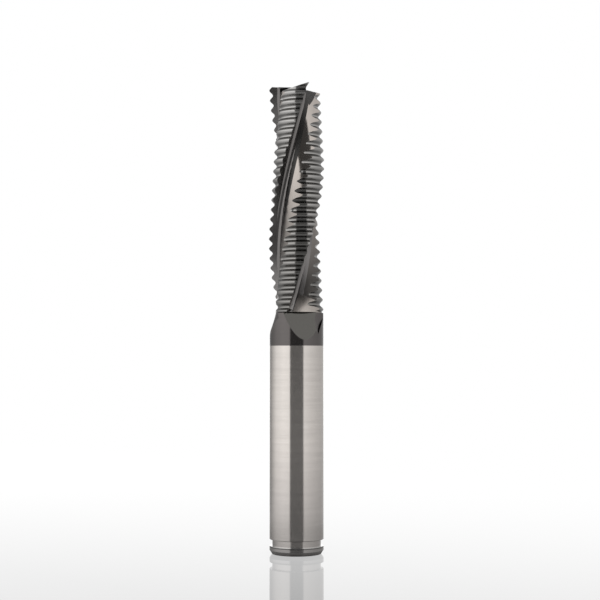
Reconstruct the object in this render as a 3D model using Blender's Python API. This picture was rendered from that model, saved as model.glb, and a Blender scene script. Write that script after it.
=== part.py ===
"""Three-flute roughing end mill, ground from one carbide bar.

The tool stands on the flat end of its shank, with its axis on +Z and the end teeth at the top. All
lengths are in metres. Angles run anticlockwise about +Z from +X, as seen from above.
"""

import math

import bmesh
import bpy
from mathutils import Matrix, Vector

# Bar
OVERALL_LENGTH = 0.110
SHANK_DIAMETER = 0.0127
CUTTING_DIAMETER = 0.0131
CUTTING_LENGTH = 0.0533

# Foot of the shank
FOOT_CHAMFER_WIDTH = 0.0006
FOOT_CHAMFER_HEIGHT = 0.0009
LIP_HEIGHT = 0.0010
GROOVE_WIDTH = 0.0015
GROOVE_DEPTH = 0.00065

# Shoulder where the ridged lands end
SHOULDER_HEIGHT = 0.0005
SHOULDER_DEPTH = 0.0010

# Ridges on the lands
RIDGE_PITCH = 0.00226
RIDGE_DEPTH = 0.0008
FIRST_CREST_BELOW_TIP = 0.0001
RADIAL_RELIEF = math.radians(9.8)

# Flutes
FLUTE_COUNT = 3
FIRST_EDGE_ANGLE = math.radians(-63)
HELIX_LEAD = 0.115
CORE_DIAMETER = 0.0075
RAKE_OFFSET = 0.00078
RAKE_LEAN = math.radians(7)
FLOOR_FILLET = 0.0011
BACK_RADIUS = 0.0080
BACK_CROWN_ACROSS = 0.0016
BACK_CROWN_RISE = 0.0001
FULL_DEPTH_LENGTH = 0.0493
WHEEL_RADIUS = 0.0074
WHEEL_LIFT = math.radians(75)

# Flats below the flutes, which lean in towards the tip
FLAT_ANGLE = math.radians(-71.5)
FLAT_LEAN = math.radians(18.3)
FLAT_LENGTH = 0.0065
FLAT_BELOW_SHOULDER = 0.0003

# End teeth, with a gash in front of each
END_DISH = math.radians(2)
END_RELIEF = math.radians(18)
GASH_SLOPE = math.radians(51)
GASH_FRONT_LEAN = math.radians(14)
GASH_BACK_LEAN = math.radians(47)
GASH_START_DEPTH = 0.0006
WEB_RADIUS = 0.00035

# How finely round forms are divided
SHANK_SEGMENTS = 64
ROWS_PER_RIDGE = 6
LAND_STEP = math.radians(12)
SWEEP_STEP = 0.0024
ARC_SEGMENTS = 5
WHEEL_SEGMENTS = 10
SHARP_ANGLE = math.radians(30)

# Room that cutters take beyond the surface that they cut, and what counts as one point
CUTTER_MARGIN = 0.0012
EDGE_MARGIN = math.radians(2)
SAME_POINT = 1e-6

TOOTH_ANGLE = 2 * math.pi / FLUTE_COUNT
CUTTING_RADIUS = CUTTING_DIAMETER / 2
SHANK_RADIUS = SHANK_DIAMETER / 2
CORE_RADIUS = CORE_DIAMETER / 2
TURN_PER_LENGTH = 2 * math.pi / HELIX_LEAD
SHOULDER_Z = OVERALL_LENGTH - CUTTING_LENGTH
OUTER_REACH = max(CUTTING_RADIUS, SHANK_RADIUS) + CUTTER_MARGIN


def clear_scene():
    for obj in list(bpy.data.objects):
        bpy.data.objects.remove(obj, do_unlink=True)


def polar(radius, angle, height):
    return Vector((radius * math.cos(angle), radius * math.sin(angle), height))


def object_from(bm, name):
    """Turns a closed bmesh into an object, with its faces pointing out."""
    bmesh.ops.recalc_face_normals(bm, faces=bm.faces)
    mesh = bpy.data.meshes.new(name)
    bm.to_mesh(mesh)
    bm.free()
    obj = bpy.data.objects.new(name, mesh)
    bpy.context.collection.objects.link(obj)
    return obj


def cutter_from(bm, name):
    """Makes a helper object, which is cut away from the bar and is no part of the tool."""
    obj = object_from(bm, name)
    obj.hide_render = True
    obj.display_type = "WIRE"
    return obj


def add_boolean(obj, other, operation):
    modifier = obj.modifiers.new(f"{operation.lower()} {other.name}", "BOOLEAN")
    modifier.operation = operation
    modifier.solver = "EXACT"
    modifier.object = other


def shank_profile():
    """Half section of the turned bar, from the middle of its foot to the middle of its shoulder."""
    lip_z = FOOT_CHAMFER_HEIGHT + LIP_HEIGHT
    groove_z = lip_z + GROOVE_WIDTH
    groove_radius = SHANK_RADIUS - GROOVE_DEPTH
    return [
        (0, 0),
        (SHANK_RADIUS - FOOT_CHAMFER_WIDTH, 0),
        (SHANK_RADIUS, FOOT_CHAMFER_HEIGHT),
        (SHANK_RADIUS, lip_z),
        (groove_radius, lip_z),
        (groove_radius, groove_z),
        (SHANK_RADIUS, groove_z),
        (SHANK_RADIUS, SHOULDER_Z - SHOULDER_HEIGHT),
        (SHANK_RADIUS - SHOULDER_DEPTH, SHOULDER_Z),
        (0, SHOULDER_Z),
    ]


def make_shank():
    bm = bmesh.new()
    points = [bm.verts.new((radius, 0, z)) for radius, z in shank_profile()]
    edges = [bm.edges.new(pair) for pair in zip(points, points[1:])]
    bmesh.ops.spin(
        bm,
        geom=points + edges,
        axis=(0, 0, 1),
        cent=(0, 0, 0),
        angle=2 * math.pi,
        steps=SHANK_SEGMENTS,
        use_merge=True,
    )
    bmesh.ops.remove_doubles(bm, verts=bm.verts, dist=SAME_POINT)
    return object_from(bm, "end_mill")


def edge_angle(tooth, z):
    """Angle of a tooth's cutting edge at a height. The helix is right-handed."""
    return FIRST_EDGE_ANGLE + tooth * TOOTH_ANGLE + (z - OVERALL_LENGTH) * TURN_PER_LENGTH


def ridge_depth(tooth, z):
    """Depth below the crests. Each tooth's ridges stand a share of the pitch above the last one's."""
    first_crest = OVERALL_LENGTH - FIRST_CREST_BELOW_TIP
    turns = (z - first_crest) / RIDGE_PITCH - tooth / FLUTE_COUNT
    return RIDGE_DEPTH * (1 - math.cos(2 * math.pi * turns)) / 2


def land_radius(tooth, behind, z):
    """Radius of a land at an angle behind its edge, where it falls away as a cam."""
    crest = CUTTING_RADIUS * (1 - behind * math.tan(RADIAL_RELIEF))
    return crest - ridge_depth(tooth, z)


def blank_ring(z):
    """One ring of the ridged blank: three lands that follow the helix, joined across the flutes."""
    steps = round(TOOTH_ANGLE / 2 / LAND_STEP)
    ring = []
    for tooth in range(FLUTE_COUNT):
        edge = edge_angle(tooth, z)
        for step in range(steps, -1, -1):
            behind = step * LAND_STEP - EDGE_MARGIN
            ring.append(polar(land_radius(tooth, behind, z), edge - behind, z))
        ring.append(polar(CUTTING_RADIUS - RIDGE_DEPTH, edge + TOOTH_ANGLE / 4, z))
    return ring


def make_ridged_blank():
    row_height = RIDGE_PITCH / ROWS_PER_RIDGE
    rows = math.ceil((CUTTING_LENGTH + CUTTER_MARGIN) / row_height)
    rings = [blank_ring(SHOULDER_Z + row * row_height) for row in range(rows + 1)]
    root_z = SHOULDER_Z - SHOULDER_HEIGHT - CUTTER_MARGIN
    inset = 1 - 2 * SHOULDER_DEPTH / SHANK_RADIUS
    root = [Vector((p.x * inset, p.y * inset, root_z)) for p in rings[0]]
    bm = bmesh.new()
    levels = [[bm.verts.new(point) for point in ring] for ring in [root] + rings]
    for lower, upper in zip(levels, levels[1:]):
        for i in range(len(lower)):
            bm.faces.new((lower[i - 1], lower[i], upper[i], upper[i - 1]))
    bm.faces.new(levels[0])
    bm.faces.new(levels[-1])
    return cutter_from(bm, "ridged_blank")


def arc_points(centre, radius, start, end):
    """Points of an arc in a plane, both ends included."""
    points = []
    for i in range(ARC_SEGMENTS + 1):
        angle = start + (end - start) * i / ARC_SEGMENTS
        points.append(centre + radius * Vector((math.cos(angle), math.sin(angle))))
    return points


def flute_profile():
    """Wheel outline, as points across and above the axis: rake side, fillet, crowned back, clear side."""
    lean = Vector((-math.sin(RAKE_LEAN), math.cos(RAKE_LEAN)))
    inward = Vector((math.cos(RAKE_LEAN), math.sin(RAKE_LEAN)))
    corner = Vector((-RAKE_OFFSET, CORE_RADIUS))
    rake_top = corner + lean * ((OUTER_REACH - CORE_RADIUS) / lean.y)
    crown = Vector((BACK_CROWN_ACROSS, CORE_RADIUS + BACK_CROWN_RISE - BACK_RADIUS))
    start = corner + inward * FLOOR_FILLET - crown
    along = start.dot(lean)
    climb = math.sqrt(along ** 2 - start.length_squared + (BACK_RADIUS + FLOOR_FILLET) ** 2) - along
    to_fillet = start + lean * climb
    meeting = math.atan2(to_fillet.y, to_fillet.x)
    back_end = math.acos((OUTER_REACH - crown.x) / BACK_RADIUS)
    fillet = arc_points(crown + to_fillet, FLOOR_FILLET, math.pi + RAKE_LEAN, math.pi + meeting)
    back = arc_points(crown, BACK_RADIUS, meeting, back_end)
    return [rake_top] + fillet + back[1:] + [Vector((OUTER_REACH, OUTER_REACH))]


def wheel_tilt():
    """The wheel leans by the helix angle at the cutting diameter."""
    return math.atan(CUTTING_RADIUS * TURN_PER_LENGTH)


def rake_edge_lag():
    """Angle from the middle of the wheel back to the cutting edge, in one level section."""
    tilt = wheel_tilt()
    low, high = CORE_RADIUS, OUTER_REACH
    while high - low > SAME_POINT:
        above = (low + high) / 2
        across = -RAKE_OFFSET - (above - CORE_RADIUS) * math.tan(RAKE_LEAN)
        if math.hypot(above, across * math.cos(tilt)) < CUTTING_RADIUS:
            low = above
        else:
            high = above
    turn = across * math.sin(tilt) * TURN_PER_LENGTH
    return math.atan2(across * math.cos(tilt), above) + turn


def make_flute_cutter(tooth):
    """Sweeps the wheel down the helix, then lifts it out on the wheel's own radius."""
    tilt = wheel_tilt()
    top = OVERALL_LENGTH + CUTTER_MARGIN + OUTER_REACH * math.sin(tilt)
    bottom = OVERALL_LENGTH - FULL_DEPTH_LENGTH
    middle = edge_angle(tooth, top) - rake_edge_lag()
    frame = (
        Matrix.Translation((0, 0, top))
        @ Matrix.Rotation(middle, 4, "Z")
        @ Matrix.Rotation(-tilt, 4, "X")
    )
    bm = bmesh.new()
    points = [bm.verts.new(frame @ Vector((above, across, 0))) for across, above in flute_profile()]
    face = bm.faces.new(points)
    steps = math.ceil((top - bottom) / SWEEP_STEP)
    swept = bmesh.ops.spin(
        bm,
        geom=[face] + list(face.edges) + points,
        axis=(0, 0, 1),
        cent=(0, 0, 0),
        dvec=(0, 0, (bottom - top) / steps),
        angle=(bottom - top) * TURN_PER_LENGTH,
        steps=steps,
    )
    end_angle = middle + (bottom - top) * TURN_PER_LENGTH
    axis = Matrix.Rotation(end_angle, 3, "Z") @ Matrix.Rotation(-tilt, 3, "X") @ Vector((0, 1, 0))
    bmesh.ops.spin(
        bm,
        geom=swept["geom_last"],
        axis=axis,
        cent=polar(CORE_RADIUS + WHEEL_RADIUS, end_angle, bottom),
        angle=-WHEEL_LIFT,
        steps=WHEEL_SEGMENTS,
    )
    return cutter_from(bm, f"flute_cutter_{tooth + 1}")


def make_flat_cutter(tooth):
    """The side of a wheel leans into the bar below the ridged lands and leaves a half-oval flat."""
    slope = math.tan(FLAT_LEAN)
    top = SHOULDER_Z - FLAT_BELOW_SHOULDER
    low = top - FLAT_LENGTH - (OUTER_REACH - SHANK_RADIUS) / slope
    deepest = SHANK_RADIUS - FLAT_LENGTH * slope
    corners = [(OUTER_REACH, low), (OUTER_REACH, top), (deepest, top)]
    bm = bmesh.new()
    face = bm.faces.new([bm.verts.new((x, -OUTER_REACH, z)) for x, z in corners])
    grown = bmesh.ops.extrude_face_region(bm, geom=[face])
    moved = [item for item in grown["geom"] if isinstance(item, bmesh.types.BMVert)]
    bmesh.ops.translate(bm, verts=moved, vec=(0, 2 * OUTER_REACH, 0))
    turn = Matrix.Rotation(FLAT_ANGLE + tooth * TOOTH_ANGLE, 3, "Z")
    bmesh.ops.rotate(bm, verts=bm.verts, cent=(0, 0, 0), matrix=turn)
    return cutter_from(bm, f"flat_cutter_{tooth + 1}")


def end_height(along, behind):
    """Height of an end face, at a distance along its edge and a distance behind it."""
    centre = OVERALL_LENGTH - CUTTING_RADIUS * math.tan(END_DISH)
    return centre + along * math.tan(END_DISH) - behind * math.tan(END_RELIEF)


def make_end_cutter(tooth):
    """Slopes the end face behind one end edge, as a sector that reaches to the next gash."""
    reach = 2 * OUTER_REACH
    top = OVERALL_LENGTH + 2 * CUTTER_MARGIN + OUTER_REACH * math.sin(wheel_tilt())
    span = TOOTH_ANGLE + EDGE_MARGIN / 4
    low = [Vector((0, 0, end_height(0, 0)))]
    for i in range(ARC_SEGMENTS + 1):
        behind = span * i / ARC_SEGMENTS - EDGE_MARGIN
        height = end_height(reach * math.cos(behind), reach * math.sin(behind))
        low.append(polar(reach, edge_angle(tooth, OVERALL_LENGTH) - behind, height))
    bm = bmesh.new()
    bottoms = [bm.verts.new(point) for point in low]
    tops = [bm.verts.new((point.x, point.y, top)) for point in low]
    for i in range(len(low)):
        bm.faces.new((bottoms[i - 1], bottoms[i], tops[i], tops[i - 1]))
    bm.faces.new(bottoms)
    bm.faces.new(tops)
    return cutter_from(bm, f"end_cutter_{tooth + 1}")


def make_gash_cutter(tooth):
    """A notch in front of each end edge, from near the axis down into its flute."""
    angle = edge_angle(tooth, OVERALL_LENGTH)
    top = OVERALL_LENGTH + CUTTER_MARGIN
    run = OUTER_REACH + CUTTER_MARGIN
    bm = bmesh.new()
    ends = []
    for along, depth in ((0, GASH_START_DEPTH), (run, GASH_START_DEPTH + run * math.tan(GASH_SLOPE))):
        foot = Vector((WEB_RADIUS + along, depth * math.tan(GASH_FRONT_LEAN), OVERALL_LENGTH - depth))
        rise = top - foot.z
        front = foot + Vector((0, -rise * math.tan(GASH_FRONT_LEAN), rise))
        back = foot + Vector((0, rise * math.tan(GASH_BACK_LEAN), rise))
        ends.append([bm.verts.new(point) for point in (foot, front, back)])
    for i in range(3):
        bm.faces.new((ends[0][i - 1], ends[0][i], ends[1][i], ends[1][i - 1]))
    bm.faces.new(ends[0])
    bm.faces.new(ends[1])
    bmesh.ops.rotate(bm, verts=bm.verts, cent=(0, 0, 0), matrix=Matrix.Rotation(angle, 3, "Z"))
    return cutter_from(bm, f"gash_cutter_{tooth + 1}")


def carbide_material():
    material = bpy.data.materials.new("ground_carbide")
    material.use_nodes = True
    shader = material.node_tree.nodes["Principled BSDF"]
    shader.inputs["Base Color"].default_value = (0.36, 0.35, 0.34, 1)
    shader.inputs["Metallic"].default_value = 1.0
    shader.inputs["Roughness"].default_value = 0.32
    return material


def main():
    clear_scene()
    tool = make_shank()
    tool.data.materials.append(carbide_material())
    add_boolean(tool, make_ridged_blank(), "UNION")
    for make_cutter in (make_end_cutter, make_gash_cutter, make_flute_cutter, make_flat_cutter):
        for tooth in range(FLUTE_COUNT):
            add_boolean(tool, make_cutter(tooth), "DIFFERENCE")
    tool.data.shade_smooth()
    tool.data.set_sharp_from_angle(angle=SHARP_ANGLE)


main()
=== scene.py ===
"""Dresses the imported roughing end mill: its ground surfaces, its dark coat and the studio round it.

All lengths are in metres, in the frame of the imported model. Angles run anticlockwise about +Z from
+X, as seen from above.
"""

import math

import bmesh
import bpy
from mathutils import Matrix, Vector


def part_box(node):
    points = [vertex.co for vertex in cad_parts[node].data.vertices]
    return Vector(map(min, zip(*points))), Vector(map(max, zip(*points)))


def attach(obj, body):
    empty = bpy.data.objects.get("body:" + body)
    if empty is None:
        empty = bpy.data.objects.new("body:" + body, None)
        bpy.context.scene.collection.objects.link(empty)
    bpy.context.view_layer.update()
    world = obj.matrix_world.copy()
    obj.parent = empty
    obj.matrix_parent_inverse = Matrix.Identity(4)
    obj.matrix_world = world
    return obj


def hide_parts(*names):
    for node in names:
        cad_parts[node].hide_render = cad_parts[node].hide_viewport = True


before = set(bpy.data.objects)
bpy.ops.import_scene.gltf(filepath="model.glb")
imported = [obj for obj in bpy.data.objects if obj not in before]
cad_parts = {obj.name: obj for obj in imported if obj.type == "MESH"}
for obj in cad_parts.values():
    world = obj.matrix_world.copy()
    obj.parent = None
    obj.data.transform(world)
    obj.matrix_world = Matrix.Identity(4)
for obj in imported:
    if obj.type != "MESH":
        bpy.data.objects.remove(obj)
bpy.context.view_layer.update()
foot_corner, tip_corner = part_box("end_mill")

# Bar, with its length and the reach of its crests read from the frame
OVERALL_LENGTH = tip_corner[2]
CUTTING_RADIUS = max(tip_corner[0], tip_corner[1], -foot_corner[0], -foot_corner[1])
SHANK_RADIUS = 0.00635
CUTTING_LENGTH = 0.0533

# Foot of the shank
FOOT_CHAMFER_WIDTH = 0.0006
FOOT_CHAMFER_HEIGHT = 0.0009
LIP_HEIGHT = 0.0010
GROOVE_WIDTH = 0.0015
GROOVE_DEPTH = 0.00065
GROOVE_CORNER = 0.0001

# Shoulder where the ridged lands end
SHOULDER_HEIGHT = 0.0005
SHOULDER_DEPTH = 0.0010

# Ridges on the lands
RIDGE_PITCH = 0.00226
RIDGE_DEPTH = 0.0008
FIRST_CREST_BELOW_TIP = 0.0001
RADIAL_RELIEF = math.radians(9.8)
LAND_ANGLE = math.radians(62)

# Flutes
FLUTE_COUNT = 3
FIRST_EDGE_ANGLE = math.radians(-63)
HELIX_LEAD = 0.115
CORE_RADIUS = 0.00375
RAKE_OFFSET = 0.00078
RAKE_LEAN = math.radians(7)
FLOOR_FILLET = 0.0011
BACK_RADIUS = 0.0080
BACK_CROWN_ACROSS = 0.0016
BACK_CROWN_RISE = 0.0001
FULL_DEPTH_LENGTH = 0.0493
WHEEL_RADIUS = 0.0074
WHEEL_LIFT = math.radians(75)

# Flats below the flutes, which lean in towards the tip
FLAT_ANGLE = math.radians(-71.5)
FLAT_LEAN = math.radians(18.3)
FLAT_LENGTH = 0.0065
FLAT_BELOW_SHOULDER = 0.0003

# End teeth, with a gash in front of each
END_DISH = math.radians(2)
END_RELIEF = math.radians(18)
GASH_SLOPE = math.radians(51)
GASH_FRONT_LEAN = math.radians(14)
GASH_BACK_LEAN = math.radians(47)
GASH_START_DEPTH = 0.0006
WEB_RADIUS = 0.00035

# Fineness of the meshes
BAR_SEGMENTS = 144
BAR_ROW = 0.004
BLANK_SEGMENTS = 144
ROWS_PER_RIDGE = 14
SWEEP_STEP = 0.0008
ARC_SEGMENTS = 12
RAKE_SEGMENTS = 8
LIFT_SEGMENTS = 40
SHARP_ANGLE = math.radians(32)

# First segments of a flute's back wall, next to its fillet, that get painted shade in place of the dark
# rake face mirrored there
SHADED_SEGMENTS = 3

# Room that cutters take beyond the surface that they cut, and what counts as one point
CUTTER_MARGIN = 0.0012
EDGE_MARGIN = math.radians(2)
SAME_POINT = 1e-6

# Camera, from the photograph: distance from the axis, height, sideways shift and upward tilt
CAMERA_DISTANCE = 0.330
CAMERA_HEIGHT = 0.0455
CAMERA_SIDE = 0.0008
CAMERA_TILT = math.radians(2.40)
CAMERA_LENS = 84.04
SENSOR_WIDTH = 36
NEAREST_SEEN = 0.01

# Where the dark coat starts, above the foot, and the height over which it comes in
COAT_START = 0.0485
COAT_FADE = 0.0001

# Heights where the painted shade on the shank changes, darker towards the foot, and the steps of the
# painted highlight, shadow line and shade at its lip
SHANK_DEEP_SHADE_END = 0.007
SHANK_MIDDLE = 0.014
SHANK_BRIGHT_START = 0.026
LIP_STEP = 0.0001

# Heights where the tones of the flutes change
BACK_TONES = (0.064, 0.092)
BACK_SHADE_TONES = (0.070, 0.080)
RAKE_TONES = (0.062, 0.080)
RUN_OUT_TONES = (0.0590, 0.0615)
RUN_OUT_BELOW_SHOULDER = 0.0004

# Roughness of the ground surfaces, and how far their marks swing it. The back of a flute goes from its
# first value to its second
SHANK_ROUGHNESS = 0.14
LAND_ROUGHNESS = 0.12
END_ROUGHNESS = 0.2
FLAT_ROUGHNESS = 0.22
BACK_ROUGHNESS = (0.5, 0.12)
RAKE_ROUGHNESS = 0.4
FILLET_ROUGHNESS = 0.16
RUN_OUT_ROUGHNESS = 0.3
BACK_SHADE_ROUGHNESS = 0.45
ROUGHNESS_SWING = 0.08

# Grinding marks as noise, fine and then broad: turns per metre across the axis and along it, and detail
BAR_MARKS = ((150, 16000, 3), (60, 1200, 2))
FLUTE_MARKS = ((16000, 120, 3), (2500, 60, 2))
CLOUD_SCALE = 900
CLOUD_DETAIL = 4
MARK_DEPTH = 0.0000008
RUN_OUT_MARK_DEPTH = 0.0000016

# Shares of the marks in the tone, and how far the clouds move a border between tones
FINE_SHARE = 0.4
BROAD_SHARE = 0.45
CLOUD_SHARE = 0.15
BORDER_WANDER = 0.00004

# Floor: its half width, its tone to the camera, how it fades to white backwards and to the right, and
# its gloss
FLOOR_SIZE = 8
FLOOR_TO_CAMERA = 0.15
LEAST_WHITE = 0.35
FADE_WAY = (0.9, 1, 0)
FADE_START = -0.08
FADE_END = 0.28
FLOOR_ROUGHNESS = 0.03
FLOOR_IOR = 1.8

# Floor as the metal sees it: tones of its painted shade near the tool and of its painted light from the
# boxes, and where that painted shade ends round the tool
FLOOR_PAINTED_SHADE_TONE = 0.3
FLOOR_PAINTED_LIGHT_TONE = 0.9
DIM_START = 0.04
DIM_END = 0.09
EYE_OVER_FLOOR = 0.05

# Places of a flute's finishes among its materials
BACK_SLOT, RAKE_SLOT, FILLET_SLOT, RUN_OUT_SLOT, BACK_SHADE_SLOT = range(5)

TOOTH_ANGLE = 2 * math.pi / FLUTE_COUNT
TURN_PER_LENGTH = 2 * math.pi / HELIX_LEAD
SHOULDER_Z = OVERALL_LENGTH - CUTTING_LENGTH
OUTER_REACH = max(CUTTING_RADIUS, SHANK_RADIUS) + CUTTER_MARGIN


def polar(radius, angle, height):
    return Vector((radius * math.cos(angle), radius * math.sin(angle), height))


def arc(centre, radius, start, end, segments):
    """Points of an arc in a plane, both ends included."""
    angles = [start + (end - start) * i / segments for i in range(segments + 1)]
    return [Vector((centre[0] + radius * math.cos(a), centre[1] + radius * math.sin(a))) for a in angles]


def stretch(start, end, segments):
    """Points of a straight stretch, without its start."""
    return [Vector(start).lerp(Vector(end), i / segments) for i in range(1, segments + 1)]


def object_from(bm, name, *materials):
    bmesh.ops.recalc_face_normals(bm, faces=bm.faces)
    mesh = bpy.data.meshes.new(name)
    bm.to_mesh(mesh)
    bm.free()
    for material in materials:
        mesh.materials.append(material)
    obj = bpy.data.objects.new(name, mesh)
    bpy.context.collection.objects.link(obj)
    return obj


def bar_profile():
    """Half section of the turned bar, from the middle of its foot to the middle of its shoulder."""
    lip_z = FOOT_CHAMFER_HEIGHT + LIP_HEIGHT
    groove_z = lip_z + GROOVE_WIDTH
    groove_radius = SHANK_RADIUS - GROOVE_DEPTH
    chamfer_z = SHOULDER_Z - SHOULDER_HEIGHT
    points = [
        (0, 0),
        (SHANK_RADIUS - FOOT_CHAMFER_WIDTH, 0),
        (SHANK_RADIUS, FOOT_CHAMFER_HEIGHT),
        (SHANK_RADIUS, lip_z - GROOVE_CORNER),
        (SHANK_RADIUS - GROOVE_CORNER, lip_z),
        (groove_radius, lip_z),
        (groove_radius, groove_z),
        (SHANK_RADIUS - GROOVE_CORNER, groove_z),
        (SHANK_RADIUS, groove_z + GROOVE_CORNER),
    ]
    rows = round((chamfer_z - groove_z) / BAR_ROW)
    points += stretch(points[-1], (SHANK_RADIUS, chamfer_z), rows)
    points += [(SHANK_RADIUS - SHOULDER_DEPTH, SHOULDER_Z), (0, SHOULDER_Z)]
    return points


def make_bar(material):
    bm = bmesh.new()
    points = [bm.verts.new((radius, 0, z)) for radius, z in bar_profile()]
    edges = [bm.edges.new(pair) for pair in zip(points, points[1:])]
    bmesh.ops.spin(
        bm,
        geom=points + edges,
        axis=(0, 0, 1),
        cent=(0, 0, 0),
        angle=2 * math.pi,
        steps=BAR_SEGMENTS,
        use_merge=True,
    )
    bmesh.ops.remove_doubles(bm, verts=bm.verts, dist=SAME_POINT)
    return object_from(bm, "ground_end_mill", material)


def edge_angle(tooth, z):
    """Angle of a tooth's cutting edge at a height. The helix is right-handed."""
    return FIRST_EDGE_ANGLE + tooth * TOOTH_ANGLE + (z - OVERALL_LENGTH) * TURN_PER_LENGTH


def ridge_depth(tooth, z):
    """Depth below the crests. Each tooth's ridges stand a share of the pitch above the last one's."""
    first_crest = OVERALL_LENGTH - FIRST_CREST_BELOW_TIP
    turns = (z - first_crest) / RIDGE_PITCH - tooth / FLUTE_COUNT
    return RIDGE_DEPTH * (1 - math.cos(2 * math.pi * turns)) / 2


def land_radius(angle, z):
    """Radius of the ridged blank, whose three lands fall away behind their edges as cams."""
    ahead = edge_angle(0, z) - angle + EDGE_MARGIN
    tooth = -math.floor(ahead / TOOTH_ANGLE)
    behind = ahead % TOOTH_ANGLE - EDGE_MARGIN
    crest = CUTTING_RADIUS * (1 - min(behind, LAND_ANGLE) * math.tan(RADIAL_RELIEF))
    return crest - ridge_depth(tooth % FLUTE_COUNT, z)


def make_ridged_blank(material):
    """Winds a ring up the helix, closes its ends and sets each point on its land."""
    low = SHOULDER_Z - SHOULDER_HEIGHT / 2
    high = OVERALL_LENGTH + CUTTER_MARGIN
    rows = math.ceil((high - low) / RIDGE_PITCH * ROWS_PER_RIDGE)
    bm = bmesh.new()
    ring = bmesh.ops.create_circle(bm, segments=BLANK_SEGMENTS, radius=CUTTING_RADIUS)
    start = Matrix.Translation((0, 0, low)) @ Matrix.Rotation(edge_angle(0, low), 4, "Z")
    bmesh.ops.transform(bm, matrix=start, verts=ring["verts"])
    bmesh.ops.spin(
        bm,
        geom=ring["verts"] + list(bm.edges),
        axis=(0, 0, 1),
        cent=(0, 0, 0),
        dvec=(0, 0, (high - low) / rows),
        angle=(high - low) * TURN_PER_LENGTH,
        steps=rows,
    )
    for vert in bm.verts:
        angle = math.atan2(vert.co.y, vert.co.x)
        vert.co = polar(land_radius(angle, vert.co.z), angle, vert.co.z)
    ends = [edge for edge in bm.edges if edge.is_boundary]
    bmesh.ops.holes_fill(bm, edges=ends, sides=0)
    return object_from(bm, "ridged_blank", material)


def flute_profile():
    """Wheel outline, as points across and above the axis: rake side, fillet, crowned back, clear side."""
    lean = Vector((-math.sin(RAKE_LEAN), math.cos(RAKE_LEAN)))
    inward = Vector((math.cos(RAKE_LEAN), math.sin(RAKE_LEAN)))
    corner = Vector((-RAKE_OFFSET, CORE_RADIUS))
    rake_top = corner + lean * ((OUTER_REACH - CORE_RADIUS) / lean.y)
    crown = Vector((BACK_CROWN_ACROSS, CORE_RADIUS + BACK_CROWN_RISE - BACK_RADIUS))
    start = corner + inward * FLOOR_FILLET - crown
    along = start.dot(lean)
    climb = math.sqrt(along ** 2 - start.length_squared + (BACK_RADIUS + FLOOR_FILLET) ** 2) - along
    to_fillet = start + lean * climb
    meeting = math.atan2(to_fillet.y, to_fillet.x)
    back_end = math.acos((OUTER_REACH - crown.x) / BACK_RADIUS)
    fillet = arc(crown + to_fillet, FLOOR_FILLET, math.pi + RAKE_LEAN, math.pi + meeting, ARC_SEGMENTS)
    back = arc(crown, BACK_RADIUS, meeting, back_end, 2 * ARC_SEGMENTS)
    rake = [rake_top] + stretch(rake_top, fillet[0], RAKE_SEGMENTS)
    return rake + fillet[1:] + back[1:] + [Vector((OUTER_REACH, OUTER_REACH))]


def wheel_tilt():
    """The wheel leans by the helix angle at the cutting diameter."""
    return math.atan(CUTTING_RADIUS * TURN_PER_LENGTH)


def rake_edge_lag():
    """Angle from the middle of the wheel back to the cutting edge, in one level section."""
    tilt = wheel_tilt()
    low, high = CORE_RADIUS, OUTER_REACH
    while high - low > SAME_POINT:
        above = (low + high) / 2
        across = -RAKE_OFFSET - (above - CORE_RADIUS) * math.tan(RAKE_LEAN)
        if math.hypot(above, across * math.cos(tilt)) < CUTTING_RADIUS:
            low = above
        else:
            high = above
    turn = across * math.sin(tilt) * TURN_PER_LENGTH
    return math.atan2(across * math.cos(tilt), above) + turn


def make_flute_wheel(tooth, finishes):
    """Sweeps the wheel down the helix, then lifts it out on the wheel's own radius."""
    tilt = wheel_tilt()
    top = OVERALL_LENGTH + CUTTER_MARGIN + OUTER_REACH * math.sin(tilt)
    bottom = OVERALL_LENGTH - FULL_DEPTH_LENGTH
    middle = edge_angle(tooth, top) - rake_edge_lag()
    place = (
        Matrix.Translation((0, 0, top))
        @ Matrix.Rotation(middle, 4, "Z")
        @ Matrix.Rotation(-tilt, 4, "X")
    )
    bm = bmesh.new()
    order = bm.verts.layers.int.new("order")
    points = [bm.verts.new(place @ Vector((above, across, 0))) for across, above in flute_profile()]
    for i, point in enumerate(points):
        point[order] = i
    face = bm.faces.new(points)
    steps = math.ceil((top - bottom) / SWEEP_STEP)
    swept = bmesh.ops.spin(
        bm,
        geom=[face] + list(face.edges) + points,
        axis=(0, 0, 1),
        cent=(0, 0, 0),
        dvec=(0, 0, (bottom - top) / steps),
        angle=(bottom - top) * TURN_PER_LENGTH,
        steps=steps,
    )
    end_angle = middle + (bottom - top) * TURN_PER_LENGTH
    axis = Matrix.Rotation(end_angle, 3, "Z") @ Matrix.Rotation(-tilt, 3, "X") @ Vector((0, 1, 0))
    full_depth = set(bm.verts)
    bmesh.ops.spin(
        bm,
        geom=swept["geom_last"],
        axis=axis,
        cent=polar(CORE_RADIUS + WHEEL_RADIUS, end_angle, bottom),
        angle=-WHEEL_LIFT,
        steps=LIFT_SEGMENTS,
    )
    for face in bm.faces:
        last = max(vert[order] for vert in face.verts)
        face.material_index = flute_slot(last, full_depth.issuperset(face.verts))
    return object_from(bm, f"flute_wheel_{tooth + 1}", *finishes)


def flute_slot(last, at_full_depth):
    """Finish of a face, by its last point on the wheel's outline."""
    if last <= RAKE_SEGMENTS:
        return RAKE_SLOT
    if last <= RAKE_SEGMENTS + ARC_SEGMENTS:
        return FILLET_SLOT
    if not at_full_depth:
        return RUN_OUT_SLOT
    if last <= RAKE_SEGMENTS + ARC_SEGMENTS + SHADED_SEGMENTS:
        return BACK_SHADE_SLOT
    return BACK_SLOT


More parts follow.
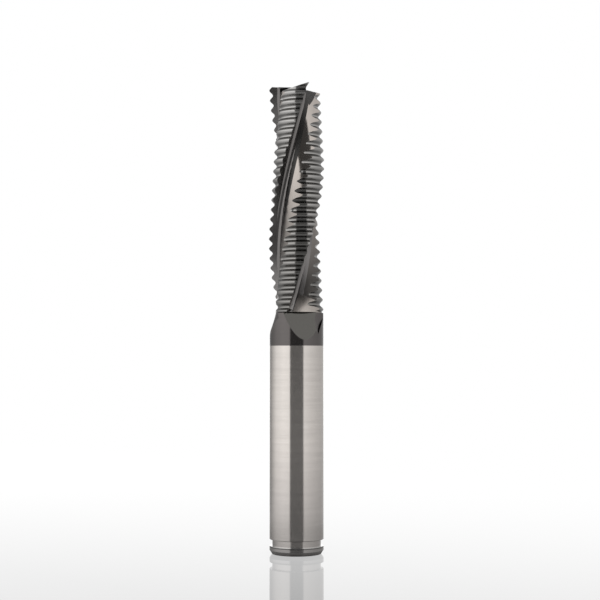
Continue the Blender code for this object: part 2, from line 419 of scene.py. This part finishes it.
def make_flat_wheel(tooth, finishes):
    """The side of a wheel leans into the bar below the ridged lands and leaves a half-oval flat."""
    slope = math.tan(FLAT_LEAN)
    top = SHOULDER_Z - FLAT_BELOW_SHOULDER
    low = top - FLAT_LENGTH - (OUTER_REACH - SHANK_RADIUS) / slope
    deepest = SHANK_RADIUS - FLAT_LENGTH * slope
    corners = [(OUTER_REACH, low), (OUTER_REACH, top), (deepest, top)]
    bm = bmesh.new()
    face = bm.faces.new([bm.verts.new((x, -OUTER_REACH, z)) for x, z in corners])
    grown = bmesh.ops.extrude_face_region(bm, geom=[face])
    moved = [item for item in grown["geom"] if isinstance(item, bmesh.types.BMVert)]
    bmesh.ops.translate(bm, verts=moved, vec=(0, 2 * OUTER_REACH, 0))
    turn = Matrix.Rotation(FLAT_ANGLE + tooth * TOOTH_ANGLE, 3, "Z")
    bmesh.ops.rotate(bm, verts=bm.verts, cent=(0, 0, 0), matrix=turn)
    return object_from(bm, f"flat_wheel_{tooth + 1}", *finishes)


def end_height(along, behind):
    """Height of an end face, at a distance along its edge and a distance behind it."""
    centre = OVERALL_LENGTH - CUTTING_RADIUS * math.tan(END_DISH)
    return centre + along * math.tan(END_DISH) - behind * math.tan(END_RELIEF)


def make_end_wheel(tooth, finishes):
    """Slopes the end face behind one end edge, as a sector that reaches to the next gash."""
    reach = 2 * OUTER_REACH
    top = OVERALL_LENGTH + 2 * CUTTER_MARGIN + OUTER_REACH * math.sin(wheel_tilt())
    span = TOOTH_ANGLE + EDGE_MARGIN / 4
    low = [Vector((0, 0, end_height(0, 0)))]
    for i in range(ARC_SEGMENTS + 1):
        behind = span * i / ARC_SEGMENTS - EDGE_MARGIN
        height = end_height(reach * math.cos(behind), reach * math.sin(behind))
        low.append(polar(reach, edge_angle(tooth, OVERALL_LENGTH) - behind, height))
    bm = bmesh.new()
    bottoms = [bm.verts.new(point) for point in low]
    tops = [bm.verts.new((point.x, point.y, top)) for point in low]
    for i in range(len(low)):
        bm.faces.new((bottoms[i - 1], bottoms[i], tops[i], tops[i - 1]))
    bm.faces.new(bottoms)
    bm.faces.new(tops)
    return object_from(bm, f"end_wheel_{tooth + 1}", *finishes)


def make_gash_wheel(tooth, finishes):
    """A notch in front of each end edge, from near the axis down into its flute."""
    angle = edge_angle(tooth, OVERALL_LENGTH)
    top = OVERALL_LENGTH + CUTTER_MARGIN
    run = OUTER_REACH + CUTTER_MARGIN
    bm = bmesh.new()
    ends = []
    for along, depth in ((0, GASH_START_DEPTH), (run, GASH_START_DEPTH + run * math.tan(GASH_SLOPE))):
        foot = Vector((WEB_RADIUS + along, depth * math.tan(GASH_FRONT_LEAN), OVERALL_LENGTH - depth))
        rise = top - foot.z
        front = foot + Vector((0, -rise * math.tan(GASH_FRONT_LEAN), rise))
        back = foot + Vector((0, rise * math.tan(GASH_BACK_LEAN), rise))
        ends.append([bm.verts.new(point) for point in (foot, front, back)])
    for i in range(3):
        bm.faces.new((ends[0][i - 1], ends[0][i], ends[1][i], ends[1][i - 1]))
    bm.faces.new(ends[0])
    bm.faces.new(ends[1])
    bmesh.ops.rotate(bm, verts=bm.verts, cent=(0, 0, 0), matrix=Matrix.Rotation(angle, 3, "Z"))
    return object_from(bm, f"gash_wheel_{tooth + 1}", *finishes)


def add_boolean(tool, other, operation):
    modifier = tool.modifiers.new(other.name, "BOOLEAN")
    modifier.operation = operation
    modifier.solver = "EXACT"
    modifier.material_mode = "TRANSFER"
    modifier.object = other


def grind_tool():
    """Joins the ridged blank to the bar, cuts it with every wheel and keeps the result as one mesh."""
    tool = make_bar(shank_finish())
    helpers = [make_ridged_blank(land_finish())]
    add_boolean(tool, helpers[0], "UNION")
    wheels = (
        (make_end_wheel, [plain_finish("end_face", END, END_ROUGHNESS)]),
        (make_gash_wheel, [plain_finish("gash", GASH, END_ROUGHNESS)]),
        (make_flute_wheel, flute_finishes()),
        (make_flat_wheel, [plain_finish("leaning_flat", FLAT, FLAT_ROUGHNESS)]),
    )
    for make_wheel, finishes in wheels:
        for tooth in range(FLUTE_COUNT):
            helpers.append(make_wheel(tooth, finishes))
            add_boolean(tool, helpers[-1], "DIFFERENCE")
    ground = bpy.data.meshes.new_from_object(tool.evaluated_get(bpy.context.evaluated_depsgraph_get()))
    tool.modifiers.clear()
    tool.data = ground
    for helper in helpers:
        bpy.data.objects.remove(helper, do_unlink=True)
    ground.shade_smooth()
    ground.set_sharp_from_angle(angle=SHARP_ANGLE)
    sharpen_borders(ground)
    return tool


def sharpen_borders(mesh):
    """Keeps the edge crisp where the surface that one wheel ground meets another's."""
    bm = bmesh.new()
    bm.from_mesh(mesh)
    for edge in bm.edges:
        if len({face.material_index for face in edge.link_faces}) > 1:
            edge.smooth = False
    bm.to_mesh(mesh)
    bm.free()


class Finish:
    """The nodes of one material or world. One method adds any node, with its settings and its inputs."""

    def __init__(self, tree):
        self.tree = tree

    def node(self, kind, settings=None, inputs=None, stops=None, output=0):
        node = self.tree.nodes.new(f"ShaderNode{kind}")
        for name, value in (settings or {}).items():
            setattr(node, name, value)
        if stops:
            ramp = node.color_ramp.elements
            while len(ramp) < len(stops):
                ramp.new(1)
            for element, (place, colour) in zip(ramp, stops):
                element.position = place
                element.color = colour
        for name, value in (inputs or {}).items():
            self.connect(value, node.inputs[name])
        return Socket(self, node.outputs[output])

    def connect(self, value, socket):
        if isinstance(value, Socket):
            self.tree.links.new(value.output, socket)
        else:
            socket.default_value = value

    def mix(self, factor, first, second):
        """Goes from the first colour to the second as the factor goes from 0 to 1."""
        inputs = {0: factor, 6: first, 7: second}
        return self.node("Mix", {"data_type": "RGBA"}, inputs, output=2)


class Socket:
    """One output of a node. Arithmetic on it adds Math nodes."""

    def __init__(self, finish, output):
        self.finish = finish
        self.output = output

    def maths(self, operation, first, second=0.0):
        return self.finish.node("Math", {"operation": operation}, {0: first, 1: second})

    def __add__(self, other):
        return self.maths("ADD", self, other)

    def __sub__(self, other):
        return self.maths("SUBTRACT", self, other)

    def __rsub__(self, other):
        return self.maths("SUBTRACT", other, self)

    def __mul__(self, other):
        return self.maths("MULTIPLY", self, other)

    def __truediv__(self, other):
        return self.maths("DIVIDE", self, other)

    __radd__ = __add__
    __rmul__ = __mul__


def grey(level):
    return (level, level, level, 1)


# Dull and bright tones of each ground surface, and the one tone of the painted shade in the valleys
BARE = ((0.525, 0.492, 0.463, 1), (0.80, 0.75, 0.707, 1))
# Bare tones with painted shade in them, darker towards the foot
BARE_LOW_PAINTED_SHADE = ((0.44, 0.412, 0.392, 1), (0.67, 0.628, 0.598, 1))
BARE_FOOT_PAINTED_SHADE = ((0.40, 0.377, 0.36, 1), (0.60, 0.565, 0.54, 1))
# Painted highlight on the top of the lip, painted shadow line under its edge, and painted shade on the
# lip and chamfer below
LIP_TOP_PAINTED_HIGHLIGHT = ((0.75, 0.74, 0.73, 1), (0.85, 0.84, 0.83, 1))
LIP_EDGE_PAINTED_SHADOW = ((0.10, 0.096, 0.093, 1), (0.14, 0.135, 0.13, 1))
LIP = ((0.30, 0.288, 0.28, 1), (0.46, 0.442, 0.43, 1))
COATED = ((0.117, 0.108, 0.105, 1), (0.153, 0.141, 0.137, 1))
LAND_FOOT = ((0.20, 0.194, 0.185, 1), (0.27, 0.262, 0.251, 1))
LAND_TIP = ((0.37, 0.362, 0.352, 1), (0.48, 0.47, 0.457, 1))
VALLEY_PAINTED_SHADE = (0.05, 0.048, 0.046, 1)
BACK_LOW = ((0.085, 0.079, 0.074, 1), (0.12, 0.112, 0.105, 1))
BACK_HIGH = ((0.36, 0.328, 0.302, 1), (0.60, 0.548, 0.507, 1))
# Painted shade on the back wall next to the fillet, standing in for the dark rake face mirrored there
BACK_FOOT_PAINTED_SHADE = ((0.07, 0.068, 0.066, 1), (0.10, 0.097, 0.094, 1))
RAKE_LOW = ((0.22, 0.21, 0.205, 1), (0.30, 0.285, 0.28, 1))
RAKE_HIGH = ((0.11, 0.106, 0.103, 1), (0.15, 0.144, 0.14, 1))
FILLET = ((0.16, 0.15, 0.147, 1), (0.22, 0.21, 0.203, 1))
RUN_OUT = ((0.30, 0.27, 0.25, 1), (0.52, 0.48, 0.44, 1))
FLAT = ((0.095, 0.092, 0.085, 1), (0.12, 0.116, 0.108, 1))
END = ((0.035, 0.034, 0.033, 1), (0.05, 0.048, 0.047, 1))
GASH = ((0.28, 0.272, 0.265, 1), (0.36, 0.35, 0.342, 1))

# Painted shade over each ridge: share of the land's tone against the share of a pitch above the crest
RIDGE_PAINTED_SHADE = (
    (0.0, 1.0),
    (0.17, 1.0),
    (0.26, 0.7),
    (0.34, 0.7),
    (0.42, 1.0),
    (0.52, 1.0),
    (0.58, 0.6),
    (0.64, 0.33),
    (0.74, 0.33),
    (0.82, 0.75),
    (0.9, 1.0),
)


class GroundMetal(Finish):
    """Material of ground metal. Its marks run round the bar or, twisted, up the flutes."""

    def __init__(self, name, stops, twisted=False):
        self.material = bpy.data.materials.new(name)
        self.material.use_nodes = True
        super().__init__(self.material.node_tree)
        self.place = self.node("TexCoord", output="Object")
        self.height = self.node("SeparateXYZ", inputs={0: self.place}, output="Z")
        marks = BAR_MARKS
        if twisted:
            turn = self.height * -TURN_PER_LENGTH
            about_z = {"rotation_type": "Z_AXIS"}
            self.place = self.node("VectorRotate", about_z, {"Vector": self.place, "Angle": turn})
            marks = FLUTE_MARKS
        self.fine, broad = (self.streaks(*mark) for mark in marks)
        clouds = {"Vector": self.place, "Scale": CLOUD_SCALE, "Detail": CLOUD_DETAIL}
        cloud = self.node("TexNoise", inputs=clouds)
        self.shade = self.fine * FINE_SHARE + broad * BROAD_SHARE + cloud * CLOUD_SHARE
        self.wavy_height = self.height + cloud * BORDER_WANDER
        self.colour = self.mix(self.shade, self.graded(stops, 0), self.graded(stops, 1))

    def streaks(self, across, along, detail):
        """Noise drawn out along one direction, by its turns per metre across and along the axis."""
        turns = {0: self.place, 1: (across, across, along)}
        drawn = self.node("VectorMath", {"operation": "MULTIPLY"}, turns)
        return self.node("TexNoise", inputs={"Vector": drawn, "Scale": 1, "Detail": detail})

    def graded(self, stops, tone):
        """Colour from (height, (dull, bright)) stops up the tool. The tone picks dull or bright."""
        low, high = stops[0][0], stops[-1][0]
        colours = [((place - low) / (high - low), tones[tone]) for place, tones in stops]
        share = (self.wavy_height - low) / (high - low)
        return self.node("ValToRGB", inputs={"Fac": share}, stops=colours)

    def between(self, height, low, high, start=0, end=1):
        """Goes from the start to the end as the height goes from low to high."""
        limits = {"Value": height, "From Min": low, "From Max": high, "To Min": start, "To Max": end}
        return self.node("MapRange", inputs=limits)

    def finished(self, roughness, mark_depth=MARK_DEPTH):
        """Connects the surface to its shader and gives the material."""
        shader = self.tree.nodes["Principled BSDF"]
        self.connect(self.colour, shader.inputs["Base Color"])
        shader.inputs["Metallic"].default_value = 1.0
        swing = self.shade * ROUGHNESS_SWING - ROUGHNESS_SWING / 2
        self.connect(swing + roughness, shader.inputs["Roughness"])
        bump = self.node("Bump", inputs={"Height": self.fine, "Strength": 1, "Distance": mark_depth})
        self.connect(bump, shader.inputs["Normal"])
        return self.material


def plain_finish(name, tones, roughness):
    """Ground metal with the same tones from foot to tip."""
    return GroundMetal(name, ((0, tones), (OVERALL_LENGTH, tones))).finished(roughness)


def shank_finish():
    """Bare carbide: painted shade towards the foot, painted light and shade at its lip, dark coat from a
    little below the flutes.
    """
    lip_z = FOOT_CHAMFER_HEIGHT + LIP_HEIGHT
    bare_and_painted_light = (
        # Painted shade on the lip and chamfer, a painted shadow line under the lip's edge and a painted
        # highlight on its top
        (lip_z - 4 * LIP_STEP, LIP),
        (lip_z - 2 * LIP_STEP, LIP_EDGE_PAINTED_SHADOW),
        (lip_z - LIP_STEP, LIP_EDGE_PAINTED_SHADOW),
        (lip_z, LIP_TOP_PAINTED_HIGHLIGHT),
        # Painted shade, darker towards the foot
        (lip_z + LIP_STEP, BARE_FOOT_PAINTED_SHADE),
        (SHANK_DEEP_SHADE_END, BARE_FOOT_PAINTED_SHADE),
        (SHANK_MIDDLE, BARE_LOW_PAINTED_SHADE),
        (SHANK_BRIGHT_START, BARE),
    )
    shank = GroundMetal("ground_shank", bare_and_painted_light)
    coat = shank.between(shank.wavy_height, COAT_START, COAT_START + COAT_FADE)
    shank.colour = shank.mix(coat, shank.colour, shank.mix(shank.shade, *COATED))
    return shank.finished(SHANK_ROUGHNESS)


def ridge_shade(land):
    """Share of the tone over one ridge as painted shade: less on its flanks, and least on its underside.
    """
    x, y = (land.node("SeparateXYZ", inputs={0: land.place}, output=part) for part in ("X", "Y"))
    angle = land.node("Math", {"operation": "ARCTAN2"}, {0: y, 1: x})
    edge = (land.height - OVERALL_LENGTH) * TURN_PER_LENGTH + (FIRST_EDGE_ANGLE + EDGE_MARGIN)
    sector = land.node("Math", {"operation": "FLOOR"}, {0: (edge - angle) / TOOTH_ANGLE})
    first_crest = OVERALL_LENGTH - FIRST_CREST_BELOW_TIP
    crests = (land.height - first_crest) / RIDGE_PITCH + sector / FLUTE_COUNT
    share = land.node("Math", {"operation": "FRACT"}, {0: crests})
    stops = [(where, grey(level)) for where, level in RIDGE_PAINTED_SHADE]
    return land.node("ValToRGB", inputs={"Fac": share}, stops=stops)


def land_finish():
    """The ridges, lighter towards the tip, with painted shade on their flanks and in their valleys."""
    land = GroundMetal("ridged_land", ((SHOULDER_Z, LAND_FOOT), (OVERALL_LENGTH, LAND_TIP)))
    # Painted shade on the flanks of the ridges and in their valleys
    land.colour = land.mix(ridge_shade(land), VALLEY_PAINTED_SHADE, land.colour)
    return land.finished(LAND_ROUGHNESS)


def back_finish():
    """Back wall of a flute, which is duller and rougher low down."""
    back = GroundMetal("flute_back", tuple(zip(BACK_TONES, (BACK_LOW, BACK_HIGH))), twisted=True)
    return back.finished(back.between(back.height, *BACK_TONES, *BACK_ROUGHNESS))


def run_out_finish():
    """Ramp where the wheel lifts out, bright between the coated shoulder and the dark flute."""
    coat_end = SHOULDER_Z - RUN_OUT_BELOW_SHOULDER
    bright_end, dark_start = RUN_OUT_TONES
    stops = (
        (coat_end, COATED),
        (coat_end + COAT_FADE, RUN_OUT),
        (bright_end, RUN_OUT),
        (dark_start, BACK_LOW),
    )
    run_out = GroundMetal("flute_run_out", stops, twisted=True)
    return run_out.finished(RUN_OUT_ROUGHNESS, RUN_OUT_MARK_DEPTH)


def flute_finish(name, heights, tones, roughness):
    """Ground metal along the flutes, from the first tones to the second between two heights."""
    return GroundMetal(name, tuple(zip(heights, tones)), twisted=True).finished(roughness)


def flute_finishes():
    """Materials of a flute, in the order of their slots."""
    shade_tones = (RAKE_LOW, BACK_FOOT_PAINTED_SHADE)
    return [
        back_finish(),
        flute_finish("rake_face", RAKE_TONES, (RAKE_LOW, RAKE_HIGH), RAKE_ROUGHNESS),
        flute_finish("flute_fillet", RAKE_TONES, (FILLET, FILLET), FILLET_ROUGHNESS),
        run_out_finish(),
        # Painted shade on the back wall next to its fillet
        flute_finish("flute_back_painted_shade", BACK_SHADE_TONES, shade_tones, BACK_SHADE_ROUGHNESS),
    ]


# Studio as the metal mirrors it, by the normal that mirrors a direction to the camera's side: pairs of
# twice its bearing in degrees, or its rise, and the brightness there
LEFT_SIDE = (
    (27, 0.0),
    (29, 0.95),
    (60, 1.0),
    (95, 0.82),
    (122, 0.42),
    (138, 0.22),
    (158, 0.2),
    (164, 0.7),
)
RIGHT_SIDE = (
    (0, 0.0),
    (28, 0.0),
    (30, 0.78),
    (60, 0.64),
    (95, 0.5),
    (125, 0.42),
    (158, 0.4),
    (164, 0.7),
)
BOX_RISE = (
    (-0.71, 0.05),
    (-0.5, 0.25),
    (-0.06, 0.62),
    (0.0, 0.72),
    (0.087, 0.86),
    (0.34, 1.0),
    (0.5, 0.9),
    (0.64, 0.5),
    (0.71, 0.22),
    (0.8, 0.1),
)
FULL_LIGHT = 1.4
DIM_RISE = (
    (-0.1, 0.16),
    (0.0, 0.125),
    (0.03, 0.165),
    (0.05, 0.14),
    (0.083, 0.06),
    (0.2, 0.08),
    (0.3, 0.2),
)

# Light straight behind the tool, and how far a direction points backwards where it takes over
BACK_LIGHT = 1.55
BACK_START = 0.955
BACK_END = 0.965


def ramp_over(finish, factor, table, low, high):
    """Brightness from a table of (place, brightness), where the factor runs from low to high."""
    stops = [((place - low) / (high - low), grey(level)) for place, level in table]
    return finish.node("ValToRGB", inputs={"Fac": (factor - low) / (high - low)}, stops=stops)


def mirror_normal(finish, direction):
    """Parts of the normal that mirrors a direction towards the camera's side."""
    normal = finish.node("VectorMath", {"operation": "ADD"}, {0: direction, 1: (0, -1, 0)})
    normal = finish.node("VectorMath", {"operation": "NORMALIZE"}, {0: normal})
    return [finish.node("SeparateXYZ", inputs={0: normal}, output=part) for part in ("X", "Y", "Z")]


def light_round(finish, normal):
    """Share of the full light by bearing. Two soft boxes end in upright edges on a round bar."""
    bearing = finish.node("Math", {"operation": "ARCTAN2"}, {0: normal[0], 1: normal[1] * -1.0})
    table = [(-place, level) for place, level in reversed(LEFT_SIDE)] + list(RIGHT_SIDE)
    return ramp_over(finish, bearing * math.degrees(2), table, -180, 180)


def studio_light(finish, direction):
    """What metal mirrors: two tall soft boxes in a dim room, and an even light straight behind."""
    normal = mirror_normal(finish, direction)
    rise = ramp_over(finish, normal[2], BOX_RISE, -1, 1)
    around = light_round(finish, normal)
    boxes = finish.node("VectorMath", {"operation": "MULTIPLY"}, {0: around, 1: rise})
    bright = finish.node("VectorMath", {"operation": "SCALE"}, {0: boxes, "Scale": FULL_LIGHT})
    dim = ramp_over(finish, normal[2], DIM_RISE, -1, 1)
    room = finish.node("VectorMath", {"operation": "ADD"}, {0: bright, 1: dim})
    depth = finish.node("SeparateXYZ", inputs={0: direction}, output="Y")
    limits = {"Value": depth, "From Min": BACK_START, "From Max": BACK_END}
    return finish.mix(finish.node("MapRange", inputs=limits), room, grey(BACK_LIGHT))


def make_world():
    """White to the camera and to dull surfaces, and a studio to metal."""
    world = bpy.data.worlds.new("studio")
    bpy.context.scene.world = world
    world.use_nodes = True
    world.cycles.sampling_method = "NONE"
    finish = Finish(world.node_tree)
    background = world.node_tree.nodes["Background"]
    studio = studio_light(finish, finish.node("TexCoord", output="Generated"))
    seen = finish.node("LightPath", output="Is Camera Ray")
    dull = finish.node("LightPath", output="Is Diffuse Ray")
    plain = finish.node("Math", {"operation": "MAXIMUM"}, {0: seen, 1: dull})
    finish.connect(finish.mix(plain, studio, grey(1)), background.inputs["Color"])
    background.inputs["Strength"].default_value = 1.0


def floor_to_metal(finish, place):
    """Tone of the floor as metal mirrors it: painted light from the boxes by bearing, and painted shade
    near the tool.
    """
    distance = finish.node("VectorMath", {"operation": "LENGTH"}, {0: place}, output="Value")
    down = finish.node("VectorMath", {"operation": "SUBTRACT"}, {0: place, 1: (0, 0, EYE_OVER_FLOOR)})
    way = finish.node("VectorMath", {"operation": "NORMALIZE"}, {0: down})
    limits = {"Value": distance, "From Min": DIM_START, "From Max": DIM_END}
    lit = finish.node("MapRange", inputs=limits) * light_round(finish, mirror_normal(finish, way))
    return finish.mix(lit, grey(FLOOR_PAINTED_SHADE_TONE), grey(FLOOR_PAINTED_LIGHT_TONE))


def floor_finish():
    """Glossy white that fades into the white background behind the tool."""
    material = bpy.data.materials.new("white_gloss_floor")
    material.use_nodes = True
    tree = material.node_tree
    finish = Finish(tree)
    shader = tree.nodes["Principled BSDF"]
    seen = finish.node("LightPath", output="Is Camera Ray")
    place = finish.node("TexCoord", output="Object")
    # Everything but the camera sees the floor with painted light and shade in its tone
    tone = finish.mix(seen, floor_to_metal(finish, place), grey(FLOOR_TO_CAMERA))
    finish.connect(tone, shader.inputs["Base Color"])
    shader.inputs["Roughness"].default_value = FLOOR_ROUGHNESS
    shader.inputs["IOR"].default_value = FLOOR_IOR
    ahead = {0: place, 1: FADE_WAY}
    slope = finish.node("VectorMath", {"operation": "DOT_PRODUCT"}, ahead, output="Value")
    limits = {"Value": slope, "From Min": FADE_START, "From Max": FADE_END, "To Min": LEAST_WHITE}
    far = finish.node("MapRange", inputs=limits)
    white = finish.node("Emission", inputs={"Color": grey(1), "Strength": 1})
    glossy = Socket(finish, shader.outputs["BSDF"])
    blend = finish.node("MixShader", inputs={0: far * seen, 1: glossy, 2: white})
    finish.connect(blend, tree.nodes["Material Output"].inputs["Surface"])
    return material


def make_floor():
    bm = bmesh.new()
    bmesh.ops.create_grid(bm, x_segments=1, y_segments=1, size=FLOOR_SIZE)
    object_from(bm, "floor", floor_finish())


def make_camera():
    camera = bpy.data.cameras.new("camera")
    camera.sensor_width = SENSOR_WIDTH
    camera.lens = CAMERA_LENS
    camera.clip_start = NEAREST_SEEN
    holder = bpy.data.objects.new("camera", camera)
    holder.location = (CAMERA_SIDE, -CAMERA_DISTANCE, CAMERA_HEIGHT)
    holder.rotation_euler = (math.pi / 2 + CAMERA_TILT, 0, 0)
    bpy.context.collection.objects.link(holder)
    bpy.context.scene.camera = holder


def main():
    make_camera()
    make_world()
    make_floor()
    tool = grind_tool()
    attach(tool, "root")
    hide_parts("end_mill")
    bpy.context.scene.view_settings.view_transform = "Standard"


main()
